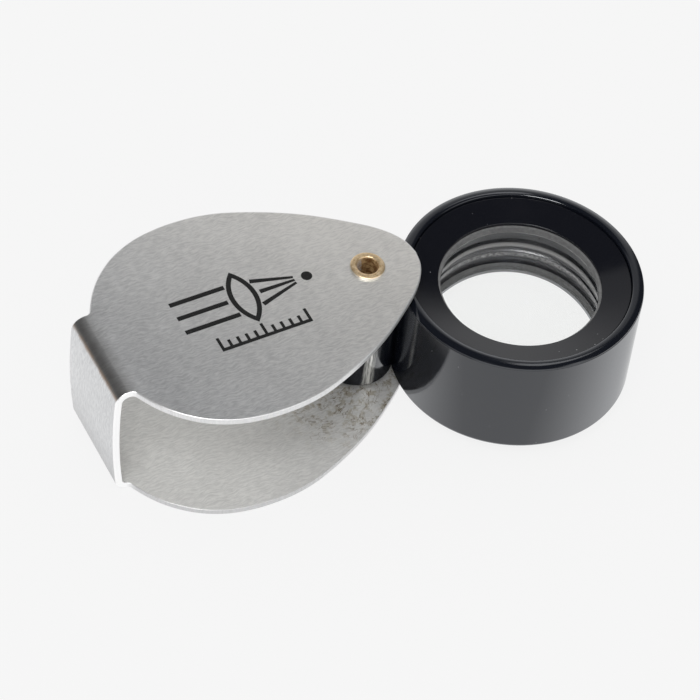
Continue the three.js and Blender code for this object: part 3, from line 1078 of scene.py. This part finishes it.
# ---------------------------------------------------------------- black paint
def black_material(name, base, rough, dust, ior, bore_radius=None):
    """Glossy black with dust spots; bore_radius adds the barrel's bare bore and a painted
    highlight stripe on the boss.
    """
    material, graph, shader = principled_material(name)
    mm = graph.millimetres()
    mottle = graph.noise(mm, scale=0.7, detail=5)
    grit = graph.noise(mm, scale=9.0, detail=3)
    cells = graph.add("ShaderNodeTexVoronoi", {"Vector": mm, "Scale": 0.85}, output="Distance")
    spots = cells.ease(span=(0.035, 0.07), to=(1, 0))
    patches = graph.noise(mm, scale=0.25, detail=2, rough=0.5).ease(span=(0.45, 0.62))
    dusty = spots * patches * dust
    color = graph.mix(dusty, base, (0.35, 0.35, 0.36))
    if bore_radius:
        # the paint stops at the lens bore, where the metal shows
        x, y, _ = graph.split(mm)
        from_axis = graph.length(x - LENS_X, y - LENS_Y)
        bare = from_axis.ramp(span=(bore_radius, bore_radius + 0.1), to=(1, 0))
        metal = graph.mix(mottle, (0.13, 0.13, 0.132), (0.26, 0.26, 0.262))
        color = graph.mix(bare, color, metal)
        # painted highlight: a pale, partly metallic stripe down the boss, on its -y side
        from_pivot, angle = graph.about_pivot(x, y)
        angle = angle * DEGREES
        grain = graph.noise(graph.scaled(mm, (5.0, 5.0, 0.35)))
        off_stripe = abs(angle + 98.5) + (grain - 0.5) * 22.0
        boss_highlight = (off_stripe.ease(span=(5.0, 11.0), to=(1, 0))
               * from_pivot.ramp(span=(4.25, 4.35), to=(1, 0)))
        color = graph.mix(boss_highlight * grain.ramp(span=(0.38, 0.6), to=(0.15, 1.0)), color,
                          (0.80, 0.80, 0.76))
        # stronger reflection at grazing angles
        facing = graph.add("ShaderNodeLayerWeight", {"Blend": 0.5}, output="Facing")
        graph.feed(shader, {
            "Metallic": graph.math("MAXIMUM", bare, boss_highlight * 0.4),
            "Specular Tint": (0.95, 0.97, 1.0),
        })
        ior = facing.ramp(span=(0.38, 0.70), to=(ior, 3.1))
    roughness = mottle.ramp(span=(0.3, 0.7), to=(rough * 0.8, rough * 1.25)) + dusty * 0.5
    relief = graph.bump(grit, strength=0.10, distance=0.00001)
    swell = graph.noise(mm, scale=0.35, detail=2, rough=0.5)
    graph.feed(shader, {
        "Base Color": color,
        "Roughness": roughness,
        "IOR": ior,
        "Normal": graph.bump(swell, strength=0.12, distance=0.00006, normal=relief),
    })
    return material


# ---------------------------------------------------------------- rivet brass
def brass_material():
    material, graph, shader = principled_material("rivet_brass")
    mm = graph.millimetres()
    x, y, z = graph.split(mm)
    mottle = graph.noise(mm, scale=1.9, detail=5)
    grit = graph.noise(mm, scale=7.0)
    radius, angle = graph.about_pivot(x, y)
    bore = (radius.ease(span=(1.15, 1.24), to=(1, 0))
            * z.ease(span=(CASE_HEIGHT + 0.05, CASE_HEIGHT + 0.26), to=(1, 0)))
    # painted highlight: the flange's outer edge is pale all round
    painted_edge_light = radius.ease(span=(1.79, 1.86))
    color = graph.mix(mottle.ramp(span=(0.35, 0.65)), (0.62, 0.44, 0.24), (0.86, 0.68, 0.45))
    color = graph.mix(grit.ramp(span=(0.52, 0.70), to=(0, 0.45)), color, (0.26, 0.15, 0.06))
    color = graph.mix(painted_edge_light, color, (0.86, 0.82, 0.74))
    # the bore is darker and browner, with a painted highlight: a pale patch 118 degrees round it
    bore_tone = graph.mix(mottle.ramp(span=(0.40, 0.60)), (0.24, 0.12, 0.045), (0.68, 0.48, 0.25))
    bore_glint = abs(angle * DEGREES - 118.0) + (mottle - 0.5) * 60.0
    bore_glint = bore_glint.ease(span=(18.0, 30.0), to=(1, 0))
    bore_tone = graph.mix(bore_glint * grit.ramp(span=(0.35, 0.6), to=(0.3, 1.0)), bore_tone,
                      (0.88, 0.86, 0.82))
    rough = mottle.ramp(span=(0.3, 0.7), to=(0.26, 0.42))
    graph.feed(shader, {
        "Base Color": graph.mix(bore, color, bore_tone),
        "Metallic": graph.mix_value(bore, 0.80, 0.45),
        "Roughness": graph.mix_value(bore, rough, 0.38),
        "Normal": graph.bump(grit, strength=0.5, distance=0.00003),
    })
    return material


# ---------------------------------------------------------------- lens glass
def glass_material():
    """Coated optical glass: bends light, reflects little, with a faint smear."""
    material = bpy.data.materials.new("lens_glass")
    graph = Graph(material)
    mm = graph.millimetres()
    smear = graph.noise(mm, scale=0.45).ramp(span=(0.55, 0.8), to=(0.0, 0.012))
    refraction = graph.add("ShaderNodeBsdfRefraction", {
        "Color": (0.998, 1.0, 0.998), "IOR": 1.52, "Roughness": smear})
    coating = graph.add("ShaderNodeBsdfGlossy", {
        "Color": (0.72, 0.80, 1.0), "Roughness": 0.02})
    fresnel = graph.add("ShaderNodeFresnel", {"IOR": 1.15})
    body = graph.mix_shader(fresnel, refraction, coating)
    # the rim is ground, not polished; its radius is measured from the leaning axis
    x, y, z = graph.split(mm)
    across_x = x - (LENS_X + SLIP_X)
    across_y = y - (LENS_Y + SLIP_Y) - (z - LEAN_Z) * LEAN
    radius = graph.length(across_x, across_y)
    ground_color = graph.mix(graph.noise(mm, scale=2.5), (0.09, 0.09, 0.09), (0.22, 0.22, 0.22))
    ground = graph.add("ShaderNodeBsdfDiffuse", {"Color": ground_color})
    body = graph.mix_shader(radius.ramp(span=(CLEAR_R + 0.02, CLEAR_R + 0.06)), body, ground)
    # shadow and diffuse rays pass straight through
    clear = graph.add("ShaderNodeBsdfTransparent", {"Color": (0.98, 0.985, 0.98)})
    rays = graph.outputs("ShaderNodeLightPath", ("Is Shadow Ray", "Is Diffuse Ray"))
    surface = graph.mix_shader(graph.math("MAXIMUM", *rays), body, clear)
    graph.node("ShaderNodeOutputMaterial", {0: surface})
    return material


# ---------------------------------------------------------------- spacer, washers and ink
def spacer_material():
    material, graph, shader = principled_material("spacer_metal")
    mm = graph.millimetres()
    _, y, z = graph.split(mm)
    height = z + (y - LENS_Y) * LEAN
    turning = graph.noise(graph.scaled(mm, (0.35, 0.35, 9.0)))
    speck = graph.noise(mm, scale=3.0, detail=5, rough=0.65)

    def band(centre, width):
        return abs(height - centre).ease(span=(width * 0.6, width * 1.4), to=(1, 0))
    # painted highlights: bright bands on the ribs
    rib_highlights = graph.math("MAXIMUM", band(centre=10.95, width=0.13),
                      band(centre=8.45, width=0.36) * 0.65)
    speckled = band(centre=6.5, width=0.30) * speck.ramp(span=(0.42, 0.6), to=(0.1, 0.8))
    rib_highlights = graph.math("MAXIMUM", rib_highlights, speckled)
    color = graph.mix(turning, (0.060, 0.060, 0.062), (0.105, 0.105, 0.108))
    graph.feed(shader, {
        "Base Color": graph.mix(rib_highlights, color, (0.36, 0.355, 0.35)),
        "Metallic": 1.0,
        "Roughness": speck.ramp(span=(0.3, 0.7), to=(0.26, 0.42)),
        "Normal": graph.bump(turning + speck * 0.6, strength=0.4, distance=0.00003),
    })
    return material


def fibre_material():
    material, graph, shader = principled_material("washer_fibre")
    fibres = graph.noise(graph.millimetres(), scale=4.0, detail=6, rough=0.7)
    graph.feed(shader, {
        "Base Color": graph.mix(fibres, (0.035, 0.028, 0.022), (0.09, 0.07, 0.055)),
        "Roughness": 0.75,
        "Normal": graph.bump(fibres, strength=0.4, distance=0.00003),
    })
    return material


def ink_material():
    material, graph, shader = principled_material("printed_ink")
    grain = graph.noise(graph.millimetres(), scale=6.0, detail=5, rough=0.7)
    wear = grain.ease(span=(0.60, 0.72), to=(0.0, 0.5))
    graph.feed(shader, {
        "Base Color": graph.mix(wear, (0.008, 0.008, 0.008), (0.14, 0.14, 0.135)),
        "Roughness": 0.6,
        "Specular IOR Level": 0.25,
        "Normal": graph.bump(grain, strength=0.4, distance=0.00002),
    })
    return material


def paint(material, *objects):
    for obj in objects:
        obj.data.materials.clear()
        obj.data.materials.append(material)


paint(steel_material(), case)
paint(brass_material(), rivet)
paint(fibre_material(), lower_washer, upper_washer)
paint(black_material("barrel_black", base=(0.0042, 0.0052, 0.0085), rough=0.11, dust=0.35,
                     ior=1.74, bore_radius=9.35), barrel)
paint(black_material("ring_black", base=(0.0045, 0.0050, 0.0076), rough=0.12, dust=0.8,
                     ior=1.53), ring)
paint(glass_material(), *lenses)
paint(spacer_material(), spacer)
paint(ink_material(), mark)

# ---------------------------------------------------------------- floor
FLOOR_SIZE = 6.0             # metres
FLOOR_DROP = 0.00003         # metres below the case


def make_floor():
    bpy.ops.mesh.primitive_plane_add(size=FLOOR_SIZE,
                                     location=(0.02, 0, CAD_BOX[0].z - FLOOR_DROP))
    floor = bpy.context.object
    floor.name = "stage_floor"
    material, graph, shader = principled_material("stage_floor")
    graph.feed(shader, {
        "Base Color": (0.055, 0.055, 0.055),
        "Roughness": 0.9,
        "Specular IOR Level": 0.0,
        "Emission Color": (1, 1, 1),
        "Emission Strength": 0.852,
    })
    paint(material, floor)


make_floor()

# ---------------------------------------------------------------- world
ROOM_LEVEL = 0.035           # the unlit room in reflections
DIFFUSE_LEVEL = 0.98         # what lights the scene
BACKDROP_LEVEL = 0.90        # what the camera sees
HIGH_PANEL_LEVEL = 1.6
CAMERA_PANEL_LEVEL = 1.35
CAMERA_PANEL_AZIMUTH = 210.6


def make_world():
    """A dark room with three soft panels that show only in reflections.

    Azimuth is in degrees from the level view direction, positive to the camera's left.
    """
    world = bpy.data.worlds.new("studio")
    scene.world = world
    graph = Graph(world)
    x, y, z = graph.split(graph.add("ShaderNodeTexCoord", output="Generated"))
    glossy_ray, camera_ray = graph.outputs("ShaderNodeLightPath",
                                           ("Is Glossy Ray", "Is Camera Ray"))
    elevation = graph.math("ARCSINE", z) * DEGREES
    heading = math.atan2(VIEW_DIRECTION.y, VIEW_DIRECTION.x)
    c, s = math.cos(heading), math.sin(heading)
    along = x * c + y * s
    across = y * c - x * s
    azimuth = graph.math("ARCTAN2", across, along) * DEGREES

    # a wide panel behind the object, dimmer towards its top
    wide = azimuth.window(rise=(-31, -13), fall=(40, 58))
    wide = wide * elevation.ease(span=(49.5, 52.5), to=(1, 0))
    reflected = ROOM_LEVEL + wide * elevation.ease(span=(16, 44), to=(0.80, 0.34))
    # a brighter panel high behind the object, to the right
    high = elevation.window(rise=(55, 58), fall=(73, 77))
    high = high * azimuth.window(rise=(-32, -22), fall=(-6, 0))
    reflected = reflected + high * HIGH_PANEL_LEVEL
    # a panel on the camera's side, to the right
    wrapped = graph.math("FLOORED_MODULO", azimuth - (CAMERA_PANEL_AZIMUTH - 180), 360)
    off_centre = abs(wrapped - 180)
    near = (off_centre.ease(span=(58, 66), to=(1, 0))
            * elevation.window(rise=(12, 20), fall=(62, 70)))
    reflected = reflected + near * CAMERA_PANEL_LEVEL

    level = graph.mix_value(glossy_ray, DIFFUSE_LEVEL, reflected)
    level = graph.mix_value(camera_ray, level, BACKDROP_LEVEL)
    background = graph.add("ShaderNodeBackground", {"Color": (1, 1, 1), "Strength": level})
    graph.node("ShaderNodeOutputWorld", {0: background})


make_world()

# ---------------------------------------------------------------- key light
KEY_AZIMUTH = math.radians(-48)  # from -y, negative towards -x
KEY_ELEVATION = math.radians(62)
KEY_DISTANCE = 0.9           # metres from the middle of the product


def make_key_light():
    light = bpy.data.lights.new("key_softbox", "AREA")
    light.shape = "RECTANGLE"
    light.size = 0.34
    light.size_y = 0.26
    light.energy = 3.0
    obj = bpy.data.objects.new("key_softbox", light)
    scene.collection.objects.link(obj)
    middle = (CAD_BOX[0] + CAD_BOX[1]) / 2
    level = math.cos(KEY_ELEVATION)
    direction = Vector((math.sin(KEY_AZIMUTH) * level, -math.cos(KEY_AZIMUTH) * level,
                        math.sin(KEY_ELEVATION)))
    obj.location = middle + direction * KEY_DISTANCE
    obj.rotation_mode = "QUATERNION"
    obj.rotation_quaternion = (middle - obj.location).to_track_quat("-Z", "Y")


make_key_light()

# ---------------------------------------------------------------- camera
CAMERA_PLACE = Vector((-96.856, -172.729, 253.581))
FOCAL_LENGTH = 155.09983
SENSOR_WIDTH = 36
LENS_SHIFT = 0.00071428571   # fraction of the frame's width


def make_camera():
    data = bpy.data.cameras.new("camera")
    camera = bpy.data.objects.new("camera", data)
    scene.collection.objects.link(camera)
    rotation = Matrix((VIEW_RIGHT, VIEW_UP, -VIEW_DIRECTION)).transposed()
    camera.matrix_world = Matrix.Translation(CAMERA_PLACE * MM) @ rotation.to_4x4()
    data.sensor_width = SENSOR_WIDTH
    data.lens = FOCAL_LENGTH
    data.shift_x = -LENS_SHIFT
    data.shift_y = LENS_SHIFT
    data.clip_start = 0.01
    data.clip_end = 50
    scene.camera = camera


make_camera()

scene.view_settings.view_transform = "Standard"
scene.view_settings.look = "None"
scene.view_settings.exposure = 0
scene.view_settings.gamma = 1

bpy.context.view_layer.update()
